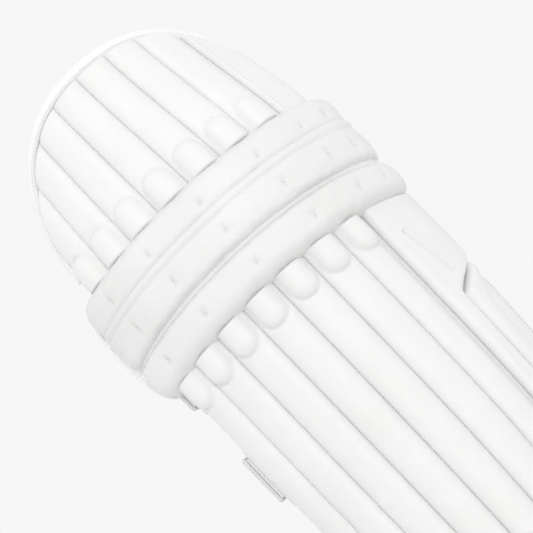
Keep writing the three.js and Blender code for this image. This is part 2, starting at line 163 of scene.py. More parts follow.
def noise(a, b, size, seed):
    """Smooth noise from -1 to 1 over two coordinates, with bumps about size across."""
    lattice = np.random.default_rng(seed).uniform(-1, 1, (97, 97))
    a, b = a / size + 40, b / size + 40
    i, j = np.floor(a).astype(int), np.floor(b).astype(int)
    f, g = a - i, b - j
    f, g = f * f * (3 - 2 * f), g * g * (3 - 2 * g)
    corner = lambda di, dj: lattice[(i + di) % 97, (j + dj) % 97]
    low = corner(0, 0) * (1 - f) + corner(1, 0) * f
    high = corner(0, 1) * (1 - f) + corner(1, 1) * f
    return low * (1 - g) + high * g


def within(x, low, high):
    """Distance inside the nearer of two ends."""
    return np.minimum(x - low, high - x)


def grid(a, b):
    return np.meshgrid(a, b, indexing="ij")


def mesh_object(name, verts, faces, material):
    mesh = bpy.data.meshes.new(name)
    mesh.from_pydata(verts.reshape(-1, 3).tolist(), [], faces)
    mesh.materials.append(material)
    mesh.polygons.foreach_set("use_smooth", [True] * len(mesh.polygons))
    mesh.update()
    obj = bpy.data.objects.new(name, mesh)
    bpy.context.collection.objects.link(obj)
    return obj


def grid_faces(nu, nv, start=0, wrap_u=False, flip=False):
    i, j = grid(np.arange(nu if wrap_u else nu - 1), np.arange(nv - 1))
    i, j = i.ravel(), j.ravel()
    k = (i + 1) % nu
    quads = np.stack([i * nv + j, k * nv + j, k * nv + j + 1, i * nv + j + 1], 1) + start
    return (quads[:, ::-1] if flip else quads).tolist()


def shell(name, front, back, material):
    """A closed piece between two grids of points with the same layout."""
    nu, nv = front.shape[:2]
    count = nu * nv
    faces = grid_faces(nu, nv) + grid_faces(nu, nv, count, flip=True)
    rim = [i * nv for i in range(nu)] + [(nu - 1) * nv + j for j in range(1, nv)]
    rim += [i * nv + nv - 1 for i in range(nu - 2, -1, -1)] + list(range(nv - 2, 0, -1))
    for a, b in zip(rim, rim[1:] + rim[:1]):
        faces.append((a, a + count, b + count, b))
    return mesh_object(name, np.concatenate([front.reshape(-1, 3), back.reshape(-1, 3)]), faces, material)


def tube(path, radius, sides=8):
    """Vertices and faces of a round tube with closed ends along a path of points."""
    along = np.gradient(path, axis=0)
    along /= np.linalg.norm(along, axis=1, keepdims=True)
    side = np.cross(along, np.where(np.abs(along[:, 2:3]) > 0.9, [1.0, 0, 0], [0, 0, 1.0]))
    side /= np.linalg.norm(side, axis=1, keepdims=True)
    up = np.cross(side, along)
    turn = np.linspace(0, 2 * math.pi, sides, endpoint=False)
    radius = np.broadcast_to(radius, len(path))[:, None, None]
    ring = side[:, None] * np.cos(turn)[None, :, None] + up[:, None] * np.sin(turn)[None, :, None]
    points = (path[:, None] + ring * radius).transpose(1, 0, 2)
    n = len(path)
    faces = grid_faces(sides, n, wrap_u=True, flip=True)
    faces.append([k * n for k in range(sides)])
    faces.append([k * n + n - 1 for k in range(sides - 1, -1, -1)])
    return points.reshape(-1, 3), faces


def join(parts):
    """Several (vertices, faces) as one."""
    verts, faces, count = [], [], 0
    for v, f in parts:
        verts.append(v)
        faces += [[i + count for i in face] for face in f]
        count += len(v)
    return np.concatenate(verts), faces


def path_run(points):
    """The distance run along a path at each of its points."""
    return np.concatenate([[0], np.cumsum(np.linalg.norm(np.diff(points, axis=0), axis=1))])


def valued(a, f):
    """A plain number, or what a function gives for f."""
    return a(f) if callable(a) else a


def on_pad(s, z, t):
    """Points of the pad and their outward normals."""
    p = at(s, z, t)
    return p, (at(s, z, t + 1) - p) / MM


def surface_line(*place):
    """A stitch line on the pad, from s, z and t as numbers or functions of f."""
    return lambda f: on_pad(*(valued(a, f) for a in place))


def between(low, high):
    return lambda f: low + (high - low) * f


def finish(obj, body, slot_name="white_leather", replaces=(), padded=None):
    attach(obj, body)
    if replaces:
        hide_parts(*replaces)


def sew(name, line, body, slot_name="white_leather", pitch=4.4, length=3.0, radius=0.42, lift=0.0):
    """Thread stitches along a line of points with outward normals: line(f) gives both for arrays of f."""
    share = np.linspace(0, 1, 400)
    run = path_run(line(share)[0]) / MM
    parts = []
    for c in np.arange(pitch, run[-1] - pitch / 2, pitch):
        p, n = line(np.interp(c + np.linspace(-0.5, 0.5, 5) * length, run, share))
        bow = np.array([-0.7, 0.2, 0.45, 0.2, -0.7])[:, None] * radius * MM
        parts.append(tube(p + n * (bow + lift * MM), np.array([0.5, 0.95, 1, 0.95, 0.5]) * radius * MM, 6))
    finish(mesh_object(name, *join(parts), THREAD), body, slot_name)


# ---- Materials ----
class Nodes:
    """A short way to write a material's node tree."""

    def __init__(self, name):
        self.material = bpy.data.materials.new(name)
        self.material.use_nodes = True
        self.tree = self.material.node_tree
        self.shader = self.tree.nodes["Principled BSDF"]
        self.place = self.new("ShaderNodeTexCoord").outputs["Object"]

    def new(self, kind, **values):
        node = self.tree.nodes.new(kind)
        for key, value in values.items():
            if hasattr(node, key):
                setattr(node, key, value)
            else:
                self.put(node, key, value)
        return node

    def put(self, node, key, value):
        socket = node.inputs[int(key[1:])] if key[1:].isdigit() else node.inputs[key.replace("_", " ")]
        if isinstance(value, bpy.types.NodeSocket):
            self.tree.links.new(value, socket)
        else:
            socket.default_value = value

    def noise(self, scale, detail=3, rough=0.5, where=None):
        return self.new("ShaderNodeTexNoise", Vector=where or self.place, Scale=scale, Detail=detail,
                        Roughness=rough).outputs["Fac"]

    def cells(self, scale, feature="DISTANCE_TO_EDGE"):
        return self.new("ShaderNodeTexVoronoi", feature=feature, Vector=self.place,
                        Scale=scale).outputs["Distance"]

    def tone(self, scale, detail, *to):
        """Slow noise spread over its whole range, or from one value to another."""
        return self.between(self.noise(scale, detail), 0.3, 0.7, *to)

    def wave(self, direction, scale, **more):
        return self.new("ShaderNodeTexWave", bands_direction=direction, Vector=self.place, Scale=scale,
                        **more).outputs["Fac"]

    def between(self, value, low, high, to_low=0.0, to_high=1.0):
        return self.new("ShaderNodeMapRange", Value=value, From_Min=low, From_Max=high, To_Min=to_low,
                        To_Max=to_high).outputs["Result"]

    def math(self, how, a, b=0.0):
        return self.new("ShaderNodeMath", operation=how, _0=a, _1=b).outputs[0]

    def mix(self, factor, a, b):
        node = self.new("ShaderNodeMix", data_type="RGBA")
        self.put(node, "_0", factor)
        self.put(node, "_6", a)
        self.put(node, "_7", b)
        return node.outputs[2]

    def bump(self, height, distance, strength, **under):
        return self.new("ShaderNodeBump", Height=height, Distance=distance, Strength=strength,
                        **under).outputs["Normal"]

    def finished(self, colour, rough, **more):
        for key, value in dict(Base_Color=colour, Roughness=rough, **more).items():
            self.put(self.shader, key, value)
        return self.material


def white(level, warm=0.0):
    return (level, level - 0.4 * warm, level - warm, 1)


def leather(name, level, grain=0.16, gloss=0.42, wear=0.03, crease=0.35):
    """Coated white leather: a fine pebble grain over soft creases, slightly uneven in tone and gloss."""
    n = Nodes(name)
    colour = n.mix(n.tone(9, 4), white(level - wear, 0.012), white(level, 0.002))
    pores = n.cells(980)
    # The colour turns a little darker and warmer along the grain's sunken lines, where its bump sits lowest.
    grain_line_tint = n.between(pores, 0.0, 0.09, 0.55, 1.0)
    colour = n.mix(n.math("MULTIPLY", n.math("SUBTRACT", 1.0, grain_line_tint), 0.1), colour, white(level - 0.22, 0.03))
    normal = n.bump(n.noise(95, 5, 0.6), 0.0009, crease)
    normal = n.bump(n.between(pores, 0.0, 0.28), grain * 0.0006, 0.6, Normal=normal)
    rough = n.tone(30, 3, gloss - 0.05, gloss + 0.08)
    return n.finished(colour, rough, Normal=normal, Specular_IOR_Level=0.42)


def mesh_fabric(name, level):
    """Spacer mesh lining: rows of small round holes in a soft knit."""
    n = Nodes(name)
    hole = n.between(n.cells(430, feature="F1"), 0.16, 0.42)
    cloth = n.mix(n.tone(14, 3), white(level - 0.05, 0.01), white(level))
    colour = n.mix(hole, white(level - 0.14, 0.01), cloth)
    normal = n.bump(n.noise(2600, 2, 0.7), 0.0002, 0.4, Normal=n.bump(hole, 0.0004, 0.5))
    return n.finished(colour, 0.88, Normal=normal, Sheen_Weight=0.25, Specular_IOR_Level=0.25)


def webbing(name, level):
    """Woven strap: ribs across its length and a finer weave along it."""
    n = Nodes(name)
    ribs = n.wave("Z", 190, Distortion=0.6, Detail=1)
    weave = n.wave("DIAGONAL", 150, Distortion=1.2)
    colour = n.mix(n.tone(24, 3), white(level - 0.05, 0.012), white(level))
    colour = n.mix(n.between(ribs, 0.0, 0.4, 0.35, 0.0), colour, white(level - 0.25, 0.02))
    normal = n.bump(weave, 0.0003, 0.4, Normal=n.bump(ribs, 0.0005, 0.6))
    return n.finished(colour, 0.78, Normal=normal, Sheen_Weight=0.15)


def tape(name, level, scale):
    """Hook or loop tape: a dense field of small tufts."""
    n = Nodes(name)
    tufts = n.cells(scale, feature="F1")
    colour = n.mix(n.between(tufts, 0.1, 0.6), white(level), white(level - 0.1, 0.01))
    normal = n.bump(n.math("SUBTRACT", 1.0, tufts), 0.0002, 0.35)
    return n.finished(colour, 0.92, Normal=normal, Sheen_Weight=0.3)


def thread(name, level):
    n = Nodes(name)
    twist = n.wave("DIAGONAL", 700)
    colour = n.mix(twist, white(level - 0.12, 0.01), white(level))
    return n.finished(colour, 0.6, Normal=n.bump(twist, 0.0002, 0.5))


def foam(name):
    n = Nodes(name)
    pores = n.cells(520)
    colour = n.mix(n.between(pores, 0.0, 0.15), (0.66, 0.62, 0.52, 1), (0.86, 0.83, 0.74, 1))
    return n.finished(colour, 0.95, Normal=n.bump(pores, 0.0006, 0.8))


def cane(name):
    """Split cane: long fibres, darker nodes and a waxy skin."""
    n = Nodes(name)
    stretch = n.new("ShaderNodeMapping", Vector=n.place, Scale=(1, 1, 0.03)).outputs["Vector"]
    fibre = n.noise(900, 4, 0.6, stretch)
    knots = n.wave("Z", 2.4, Distortion=1.5)
    colour = n.mix(n.between(fibre, 0.3, 0.7), (0.5, 0.34, 0.15, 1), (0.78, 0.62, 0.36, 1))
    colour = n.mix(n.between(knots, 0.9, 1.0, 0.0, 0.5), colour, (0.32, 0.2, 0.09, 1))
    return n.finished(colour, 0.45, Normal=n.bump(fibre, 0.0003, 0.5))


LEATHER = leather("White_leather", 0.86)
SOFT_LEATHER = leather("Soft_roll_leather", 0.85, grain=0.24, gloss=0.46, wear=0.05, crease=1.0)
BINDING = leather("Binding_leather", 0.9, grain=0.08, gloss=0.34, wear=0.02)
LINING = mesh_fabric("Lining_mesh", 0.8)
BOLSTER = mesh_fabric("Bolster_mesh", 0.84)
STRAP = webbing("Strap_webbing", 0.84)
HOOKS = tape("Hook_tape", 0.95, 900)
LOOPS = tape("Loop_tape", 0.95, 640)
THREAD = thread("Sewing_thread", 0.84)
FINE_STITCH = (3.6, 2.5, 0.36)
FOAM = foam("Core_foam")
CANE = cane("Cane_rod")


# ---- Channelled face leathers ----
CHANNEL_RISE, HAT_CHANNEL_RISE, SEAM_T = 9.9, 8.6, 2.6
FINGER_HALF, FINGER_LENGTH, FINGER_RISE = 15.2, 36, 8
STITCH_T = SEAM_T + 0.5
VALLEY_T = 1.4
# How the leather sinks at its outer edge: the height, the share, and from and to where.
OUTER_FADE = {-1: (0.9, 0.8, 17, 1), 1: (1.4, 0.7, 6, 5)}
HAT_MARGIN, SHIN_MARGIN = 9, WING_START + 0.4 - FACE_HALF
HAT_LEAN, HAT_LEAN_FROM, HAT_LEAN_REACH = (5, 3, 0.05), HEIGHT - 25, 150


def raised(distance, width, power=2.2):
    """0 at an edge and 1 beyond width, rising like a quarter of an ellipse."""
    f = np.clip(distance / width, 0, 1)
    return (1 - (1 - f) ** power) ** (1 / power)


def channel_columns(margin, samples=26):
    """Arc lengths across the channels, crowded towards the seams, and on over a margin past the last."""
    q = np.sin(np.linspace(-1, 1, samples + 1) * math.pi / 2)
    columns = [centre + q[:-1] * PITCH / 2 for centre in (np.array(SEAMS[:-1]) + PITCH / 2)]
    return np.append(np.concatenate(columns), FACE_HALF + margin * np.linspace(0, 1, 5))


def pillow(q):
    """A stuffed channel's height across it: flat-topped, steep into the seams."""
    return np.maximum(0, 1 - np.abs(q) ** 2.6) ** 0.54


def finger(across, beyond):
    """A finger pad's lift, from its distance across its axis and beyond the rolls' edge."""
    reach = np.maximum(0, beyond - (FINGER_LENGTH - FINGER_HALF)) / FINGER_HALF
    r = (across / FINGER_HALF) ** 2 + reach ** 2
    crease = 0.9 * np.exp(-((np.sqrt(r) - 1.06) / 0.16) ** 2) * ramp(beyond, 8, 24)
    return FINGER_RISE * np.maximum(0, 1 - r) ** 0.56 - crease


def face_height(s, z, beyond, rise, valley, seed, way=1):
    """The face leather's distance from the backing, with beyond the height past the knee rolls' edge."""
    channel = np.clip(np.floor((s + FACE_HALF) / PITCH), 0, CHANNELS - 1)
    across = s - (channel - (CHANNELS - 1) / 2) * PITCH
    widest = (way > 0) & (channel == CHANNELS - 1) & (across > 0)
    q = np.clip(across / (PITCH / 2 + HAT_MARGIN * widest), -1, 1)
    full = 1 + 0.04 * noise(z, channel * 7, 55, seed)
    t = SEAM_T + rise * pillow(q) * full + finger(across, beyond)
    near_seam = np.abs(q) ** 5
    valley = valley * ramp(s, FACE_HALF - 8, FACE_HALF - 1)
    t = np.maximum(t, valley) + 0.35 * np.minimum(valley, t)
    level, share, before, after = OUTER_FADE[way]
    t = t - (t - level) * share * ramp(s, FACE_HALF - before, FACE_HALF + after)
    pucker = noise(z, channel * 13, 3.6, seed + 3) * near_seam * (1 - near_seam) * 2.6
    soft = 0.36 * noise(s, z, 16, seed + 1) + 0.18 * noise(s, z, 7, seed + 2)
    return t + pucker + soft * (1 - near_seam)


def stepped(*runs):
    """Values over (low, high, count) runs laid end to end."""
    return np.unique(np.concatenate([np.linspace(*run) for run in runs]))


def fill(s, rows, low, high):
    """s and z over a panel between two outlines, with rows as shares of its height."""
    S, F = grid(s, rows)
    return S, low(S) + (high(S) - low(S)) * F


def edge_gap(S, Z, s0, s1, low, high):
    """Distance to the nearest of a panel's four edges."""
    return np.minimum(within(S, s0, s1), within(Z, low, high))


def face_piece(name, low, high, seam, way, seed, rows, hem, rise, valley, lean):
    """One channelled leather between two outlines: way is -1 where the rolls are above it, 1 where below."""
    margin = HAT_MARGIN if way > 0 else SHIN_MARGIN
    S, Z = fill(channel_columns(margin), rows, low, high)
    beyond = way * (Z - seam_z(seam, S))
    T = face_height(S, Z, beyond, rise, valley, seed, way)
    free = raised(np.abs(Z - (high(S) if way > 0 else low(S))), hem)
    T = 2 + (T - 2) * free * (0.5 + 0.5 * ramp(beyond, -4, -1))
    S = S + lean(S, Z)
    return shell(name, at(S, Z, T), at(S, Z, np.minimum(T - 0.8, 0.9)), LEATHER)


def shin_top(s):
    return seam_z(0, s) + 3


def shin_bottom(s):
    return arch(s) + GUARD_WIDTH + 0.8


def hat_bottom(s):
    return seam_z(3, s) - 3


def hat_lean(s, z):
    """How far the top hat's channels sit towards the outer side of the shin's, most of all at the rolls."""
    least, more, spread = HAT_LEAN
    return least + (more + spread * s) * np.clip((HAT_LEAN_FROM - z) / HAT_LEAN_REACH, 0, 1)


def hat_top(s):
    return np.maximum(dome(s, 4.4), hat_bottom(s) + 46)


def build_faces():
    rows = stepped((0, 0.05, 12), (0.05, 0.87, 104), (0.87, 1, 46))
    shin = face_piece("shin_face_leather", shin_bottom, shin_top, 0, -1, 11, rows, 8, CHANNEL_RISE, VALLEY_T,
                      lambda s, z: 0)
    finish(shin, SHIN, "white_leather", ["shin_face_cover"], 0.8)
    rows = stepped((0, 0.36, 46), (0.36, 0.9, 50), (0.9, 1, 16))
    hat = face_piece("top_hat_face_leather", hat_bottom, hat_top, 3, 1, 23, rows, 6.5, HAT_CHANNEL_RISE, 0,
                     hat_lean)
    finish(hat, HAT, "white_leather", ["top_hat_face_cover"], 0.75)
    for i in range(CHANNELS):
        centre = (i - (CHANNELS - 1) / 2) * PITCH
        S, B = grid(centre + np.linspace(-11, 11, 23), np.linspace(2, 29, 28))
        Z = seam_z(3, S) + B
        round_end = raised(11.2 - np.abs(S - centre), 9) * raised(29.2 - B, 10)
        top = 1.5 + (face_height(S, Z, B, HAT_CHANNEL_RISE, 0, 23) - 4) * round_end
        S = S + hat_lean(S, Z)
        pad = shell(f"top_hat_finger_foam_{i + 1}", at(S, Z, top), at(S, Z, 1.2), FOAM)
        finish(pad, HAT, "foam", [f"top_hat_finger_pad_{i + 1}"], 0.9)
    for i, s in enumerate(SEAMS[1:-1]):
        for name, body, low, high in (("shin", SHIN, shin_bottom(s) + 3, shin_top(s) - 2),
                                      ("top_hat", HAT, hat_bottom(s) + 2, hat_top(s) - 7)):
            def across(f, s=s, height=between(low, high), leans=body == HAT):
                return s + leans * hat_lean(s, height(f))

            sew(f"{name}_channel_stitching_{i + 1}", surface_line(across, between(low, high), STITCH_T), body)


# ---- Knee rolls ----
ROLLS = (("lower", SHIN), ("middle", KNEE), ("upper", HAT))
# Powers of each roll's section towards its lower and its upper seam: a higher one makes a fuller edge.
ROLL_POWERS = ((2.6, 4.2), (4.2, 4.6), (4.6, 2.5))
DIMPLES = (-103, -43, 23, 89, 146, 182)
DIMPLE_V = (0.1, 0.03, -0.17)
DIMPLE_WIDTH = 22
SWELL, BOLSTER_SWELL, SWELL_SHARE, SMOOTHING = 4, 3.5, 0.45, 4
CLOTH = dict(quality=7, mass=0.25, tension_stiffness=25, compression_stiffness=25, shear_stiffness=10,
             bending_stiffness=6, shrink_min=-0.01, use_pressure=True, uniform_pressure_force=4.5,
             vertex_group_mass="sewn")
LEFT_TAPER, RIGHT_TAPER = (20, 0.16), (45, 0.34)
FLAP_S, FLAP_LEAST, FLAP_MORE = -154.5, 8, 24


def roll_grid(i, columns=200, turns=41):
    """s, the place v from -1 to 1 across the roll, and the share of its full height, over one roll."""
    s = np.linspace(ROLL_LEFT, ROLL_RIGHT, columns)
    s = s - 3 * np.sin(2 * math.pi * (s - ROLL_LEFT) / (ROLL_RIGHT - ROLL_LEFT))
    angle = np.linspace(math.pi, 0, turns)
    S, A = grid(s, angle)
    power = np.where(np.cos(A) < 0, *ROLL_POWERS[i])
    V = np.sign(np.cos(A)) * np.abs(np.cos(A)) ** (2 / power)
    return S, V, np.maximum(0, np.sin(A)) ** (2 / power)


def roll_gap(s):
    """Half the gap between two rolls' leathers, narrower than the cores' since the leather gives."""
    return 0.55 * slot(s)


def roll_fullness(s):
    """How much of its height a roll keeps towards its ends."""
    def end(distance, taper):
        reach, loss = taper
        return 1 - loss + loss * np.sin(math.pi / 2 * np.clip(distance / reach, 0, 1))

    return end(s - ROLL_LEFT, LEFT_TAPER) * end(ROLL_RIGHT - s, RIGHT_TAPER)


def roll_points(i, S, V, share):
    low, high = seam_z(i, S) + roll_gap(S), seam_z(i + 1, S) - roll_gap(S)
    from_end = within(S, ROLL_LEFT, ROLL_RIGHT)
    bite = 6 * (1 - raised(from_end, 10, 2))
    low, high = low + bite * (i == 0), high - bite * (i == 2)
    height = ROLL_HEIGHT * roll_fullness(S) * (0.1 + 0.9 * raised(from_end, 7, 2))
    return at(S, (low + high) / 2 + V * (high - low) / 2, 1.4 + (height - 1.4) * share)


def vertex_array(obj):
    co = np.empty(len(obj.data.vertices) * 3)
    obj.data.vertices.foreach_get("co", co)
    return co.reshape(-1, 3)


def stuffed(points, sewn, cap, frames=18, flip=False):
    """A sheet of points, swelled by its stuffing between its seams: a smoothed share of what Cloth gives."""
    sheet = mesh_object("Stuffed_sheet", points, grid_faces(*sewn.shape, flip=flip), SOFT_LEATHER)
    rest = vertex_array(sheet)
    sheet.vertex_groups.new(name="sewn").add(np.flatnonzero(sewn.ravel()).tolist(), 1.0, "REPLACE")
    cloth = sheet.modifiers.new("Cloth", "CLOTH")
    for key, value in CLOTH.items():
        setattr(cloth.settings, key, value)
    cloth.settings.effector_weights.gravity = 0
    cloth.collision_settings.use_collision = False
    cloth.point_cache.frame_start, cloth.point_cache.frame_end = 1, frames
    scene = bpy.context.scene
    for k in range(1, frames + 1):
        scene.frame_set(k)
    moved = vertex_array(sheet.evaluated_get(bpy.context.evaluated_depsgraph_get()))
    bpy.data.objects.remove(sheet)
    scene.frame_set(1)
    step = (moved - rest).reshape(points.shape) * SWELL_SHARE
    for _ in range(SMOOTHING):
        around = np.pad(step, ((1, 1), (1, 1), (0, 0)), "edge")
        step = (around[:-2, 1:-1] + around[2:, 1:-1] + around[1:-1, :-2] + around[1:-1, 2:] + 2 * step) / 6
    size = np.linalg.norm(step, axis=-1, keepdims=True)
    return points + step * np.minimum(1, cap * MM / np.maximum(size, 1e-9))


def outward(S, Z):
    """The pad's outward direction, one millimetre long."""
    return at(S, Z, 1.0) - at(S, Z, 0.0)


def build_roll(i, label, body):
    S, V, share = roll_grid(i)
    points = roll_points(i, S, V, share)
    out = outward(S, points[..., 2] / MM)
    sewn = (share < 0.16) | (S <= S.min() + 0.1) | (S >= S.max() - 0.1)
    points = stuffed(points, sewn, SWELL) + out * crinkle(S, V, share, 31 + 10 * i)[..., None]

    def away(s, v):
        return np.hypot(S - s, (V - v) * DIMPLE_WIDTH)

    centres = [np.unravel_index(np.argmin(away(d, DIMPLE_V[i])), S.shape) for d in DIMPLES]
    for centre in centres:
        distance = away(S[centre], V[centre])
        pull = 3.4 * np.exp(-(distance / 2) ** 2) + 1.3 * np.exp(-(distance / 6.5) ** 2)
        points = points - out * pull[..., None]
    name = "knee_roll_" + label
    roll = shell(name + "_leather", points, at(S, points[..., 2] / MM, 0.5), SOFT_LEATHER)
    finish(roll, body, "white_leather", [name + "_cover", name + "_core"], 0.85)
    parts = []
    for i, j in centres:
        along = points[i + 1, j] - points[i - 1, j]
        along /= np.linalg.norm(along)
        f = np.linspace(-1, 1, 7)[:, None]
        path = points[i, j] + along * f * 1.9 * MM + out[i, j] * (0.75 - 0.9 * f ** 2)
        parts.append(tube(path, np.array([0.3, 0.5, 0.6, 0.62, 0.6, 0.5, 0.3]) * MM))
    finish(mesh_object(name + "_dimple_threads", *join(parts), THREAD), body)


def crinkle(S, V, share, seed):
    """Fine creases that run across the roll from its seams, stronger towards its ends."""
    rim = (1 - share) * share ** 0.5 * 2
    ends = np.exp(-(S - ROLL_LEFT) / 22) + np.exp(-(ROLL_RIGHT - S) / 34)
    wave = noise(S, V * 5, 3.4, seed) + 0.6 * noise(S, V * 8, 1.9, seed + 1)
    soft = 0.55 * noise(S, V * 22, 15, seed + 2) + 0.22 * noise(S, V * 22, 6, seed + 3)
    return (0.6 * rim + (0.6 + 0.9 * rim) * ends) * share ** 0.3 * wave + 1.25 * soft * share


def build_roll_flaps():
    """The stitched edge of each roll's backing, which stands out past the roll's left end."""
    foot, head = seam_z(0, ROLL_LEFT) + 1, seam_z(3, ROLL_LEFT) - 1
    middle, half = (foot + head) / 2, (head - foot) / 2

    def stand(z):
        bow = np.maximum(0, 1 - np.abs((z - middle) / (half * 1.04)) ** 2.4) ** 0.5
        return FLAP_LEAST + FLAP_MORE * bow

    for i, (label, body) in enumerate(ROLLS):
        name = f"knee_roll_{label}_backing"
        low, high = max(foot, seam_z(i, ROLL_LEFT) + 0.4), min(head, seam_z(i + 1, ROLL_LEFT) - 0.4)
        U, Z = grid(np.linspace(0, 1, 20), np.linspace(low, high, 40))
        T = 3 + (stand(Z) - 3) * U
        wave = 0.5 * noise(T, Z, 9, 61) * U
        thick = 1.1 * (0.3 + 0.7 * raised(1 - U, 0.06))
        front, back = FLAP_S + thick + wave, FLAP_S - thick + wave
        flap = shell(name + "_edge", at(front, Z, T), at(back, Z, T), BINDING)
        finish(flap, body)

        def line(f, low=low, high=high):
            z = low + 1 + (high - low - 2) * f
            points = at(FLAP_S + 1.2, z, stand(z) - 3.4)
            normal = at(FLAP_S + 2, z, 10) - at(FLAP_S - 2, z, 10)
            return points, normal / np.linalg.norm(normal, axis=-1, keepdims=True)
        sew(name + "_stitching", line, body, "white_leather", *FINE_STITCH)


# Each web's seam, the bodies below and above it, its crest, its fall to both sides and its overlap.
WEBS = (("lower", 1, SHIN, KNEE, 19.5, 2.6, 3.2), ("upper", 2, KNEE, HAT, 27.2, 3.4, 5.4))
WEB_PIECES, WEB_LAP = 8, 4
WEB_ACROSS = np.array([-1, -0.8, -0.55, -0.3, -0.12, 0, 0.12, 0.3, 0.55, 0.8, 1])


def build_webs():
    """Soft strips between the knee rolls, from the valley to the lining, in pieces that overlap along the
    rolls.
    """
    for label, seam, below, above, crest, fall, spread in WEBS:
        cuts = np.linspace(ROLL_LEFT + 3, ROLL_RIGHT - 3, WEB_PIECES + 1)
        for k, (s0, s1) in enumerate(zip(cuts[:-1], cuts[1:])):
            s = np.concatenate([[s0 - WEB_LAP], np.linspace(s0, s1, 14), [s1 + WEB_LAP]])
            S, V = grid(s, WEB_ACROSS)
            beyond = (S < s0) | (S > s1)
            Z = seam_z(seam, S) + V * (slot(S) + spread)
            front = crest * roll_fullness(S) - fall * np.abs(V) ** 1.4
            front = front + 0.25 * noise(S, V * 3, 4, 65) - 0.5 * beyond
            back = LINING_BACK + 0.9 - 0.5 * np.abs(V)
            web = panel_shell(f"knee_web_{label}_{k + 1}", S, Z, front, back, SOFT_LEATHER)
            first, last = (Vector(at(s, seam_z(seam, s), 0)) for s in (s0, s1))
            along = (last - first).normalized()
            across = (Vector((0, 0, 1)) - along * along.z).normalized()
            across *= float(slot((s0 + s1) / 2) + 0.8) * MM
            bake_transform(web)


# ---- Padded panels ----
PANEL_FRONT, PANEL_ROUND = 0.2, 3.0


def panel_shell(name, S, Z, front_t, back_t, material=LEATHER):
    """A closed piece over a grid of s and z, whichever way s runs."""
    if S[0, 0] > S[-1, 0]:
        S, Z, front_t, back_t = (np.broadcast_to(a, S.shape)[::-1] for a in (S, Z, front_t, back_t))
    return shell(name, at(S, Z, front_t), at(S, Z, back_t), material)


def rim_steps(low, high, count, rim=3.0):
    """Positions from low to high, crowded within rim of both ends."""
    near = np.array([0, 0.12, 0.35, 0.65, 1]) * rim
    inner = np.linspace(low + rim, high - rim, count)
    return np.concatenate([low + near[:-1], inner, (high - near[:-1])[::-1]])


def round_panel(name, s, low, high, rows, back_t, *how):
    S, Z = fill(s, rim_steps(0, 1, rows, 0.02), low, high)
    inset = PANEL_ROUND * (1 - raised(edge_gap(S, Z, s[0], s[-1], low(S), high(S)), PANEL_ROUND, 2))
    finish(panel_shell(name, S, Z, PANEL_FRONT - inset, back_t + inset), *how)


def beside(seam, way, sign=1, margin=0):
    """The height just above or below a seam's slot. sign is -1 where s counts towards the left."""
    return lambda s: seam_z(seam, s) + way * slot(sign * s) - margin


def build_cores():
    s = rim_steps(-FACE_HALF - 1.2, FACE_HALF + 1.2, 70)
    round_panel("shin_core_leather", s, arch, beside(1, -1), 90, FOAM_BACK, SHIN, "white_leather",
                ["shin_foam_core"], 0.9)
    s = rim_steps(DOME_CENTRE - DOME_HALF + 2, DOME_CENTRE + DOME_HALF - 2, 80)
    round_panel("top_hat_core_leather", s, beside(2, 1), lambda x: dome(x, 0.6), 60, FOAM_BACK, HAT,
                "white_leather", ["top_hat_foam_core"], 0.9)
    s = rim_steps(ROLL_LEFT + 2, ROLL_RIGHT - 2, 70)
    round_panel("knee_panel_leather", s, beside(1, 1), beside(2, -1), 16, LINING_BACK, KNEE, "foam",
                ["knee_panel"], 0.8)


def quilt(S, Z, seed):
    """Depth of the lining's quilting, pulled in along the channel seams and in wide diamonds."""
    across = np.abs((S / PITCH + 0.5) % 1 - 0.5) * 2
    diamond = np.minimum(*(np.abs(((S + sign * Z) / PITCH / 2 + 0.25) % 1 - 0.5) * 2 for sign in (1, -1)))
    pulled = raised(across, 0.35) * (0.55 + 0.45 * raised(diamond, 0.25))
    return 2.3 * pulled + 0.2 * noise(S, Z, 11, seed)


def build_linings():
    def lining(node, s, low, high, body, rows, seed):
        S, Z = fill(s, rim_steps(0, 1, rows, 0.015), low, high)
        rise = raised(edge_gap(S, Z, s[0], s[-1], low(S), high(S)), 6)
        depth = 0.8 + (1.1 + quilt(S, Z, seed)) * rise
        piece = panel_shell(node + "_fabric", S, Z, FOAM_BACK - 0.2, FOAM_BACK - 0.3 - depth, LINING)
        finish(piece, body, "lining_fabric", [node], 0.35)

    s = rim_steps(-FACE_HALF - 1, FACE_HALF + 1, 150)
    lining("shin_lining", s, arch, beside(1, -1), SHIN, 220, 101)
    s = rim_steps(DOME_CENTRE - DOME_HALF + 7, DOME_CENTRE + DOME_HALF - 7, 150)
    lining("top_hat_lining", s, beside(2, 1), lambda x: dome(x, 3), HAT, 110, 103)


def build_flap():
    """The plain leather beside the top hat's channels, with a turned and stitched edge."""
    s = rim_steps(FACE_HALF + HAT_MARGIN + 0.5, DOME_CENTRE + DOME_HALF - 3, 60, 3)
    S, F = grid(s, np.linspace(0, 1, 90))
    low, high = hat_bottom(S), np.maximum(dome(S, 3), hat_bottom(S) + 3)
    Z = low + (high - low) * F
    welt = 3.2 * np.exp(-((S - s[0] - 3.4) / 2.6) ** 2)
    T = 4.2 + welt + 0.5 * noise(S, Z, 26, 71) + 0.25 * noise(S, Z, 9, 72)
    edge = raised(S - s[0], 2.6) * (0.4 + 0.6 * ramp(high - Z, 0, 8))
    shift = hat_lean(S, Z) * ramp(s[-1] - S, 0, 60)
    piece = panel_shell("top_hat_flap_leather", S + shift, Z, 0.9 + T * edge, 0.5)
    finish(piece, HAT, "white_leather", ["top_hat_flap_cover"], 0.4)
    low, high = hat_bottom(s[0]) + 3, dome(s[0] + 13) - 9
    row = between(low, high)
    line = surface_line(lambda f: s[0] + 7.2 + hat_lean(s[0], row(f)), row, 5.6)
    sew("top_hat_flap_stitching", line, HAT)


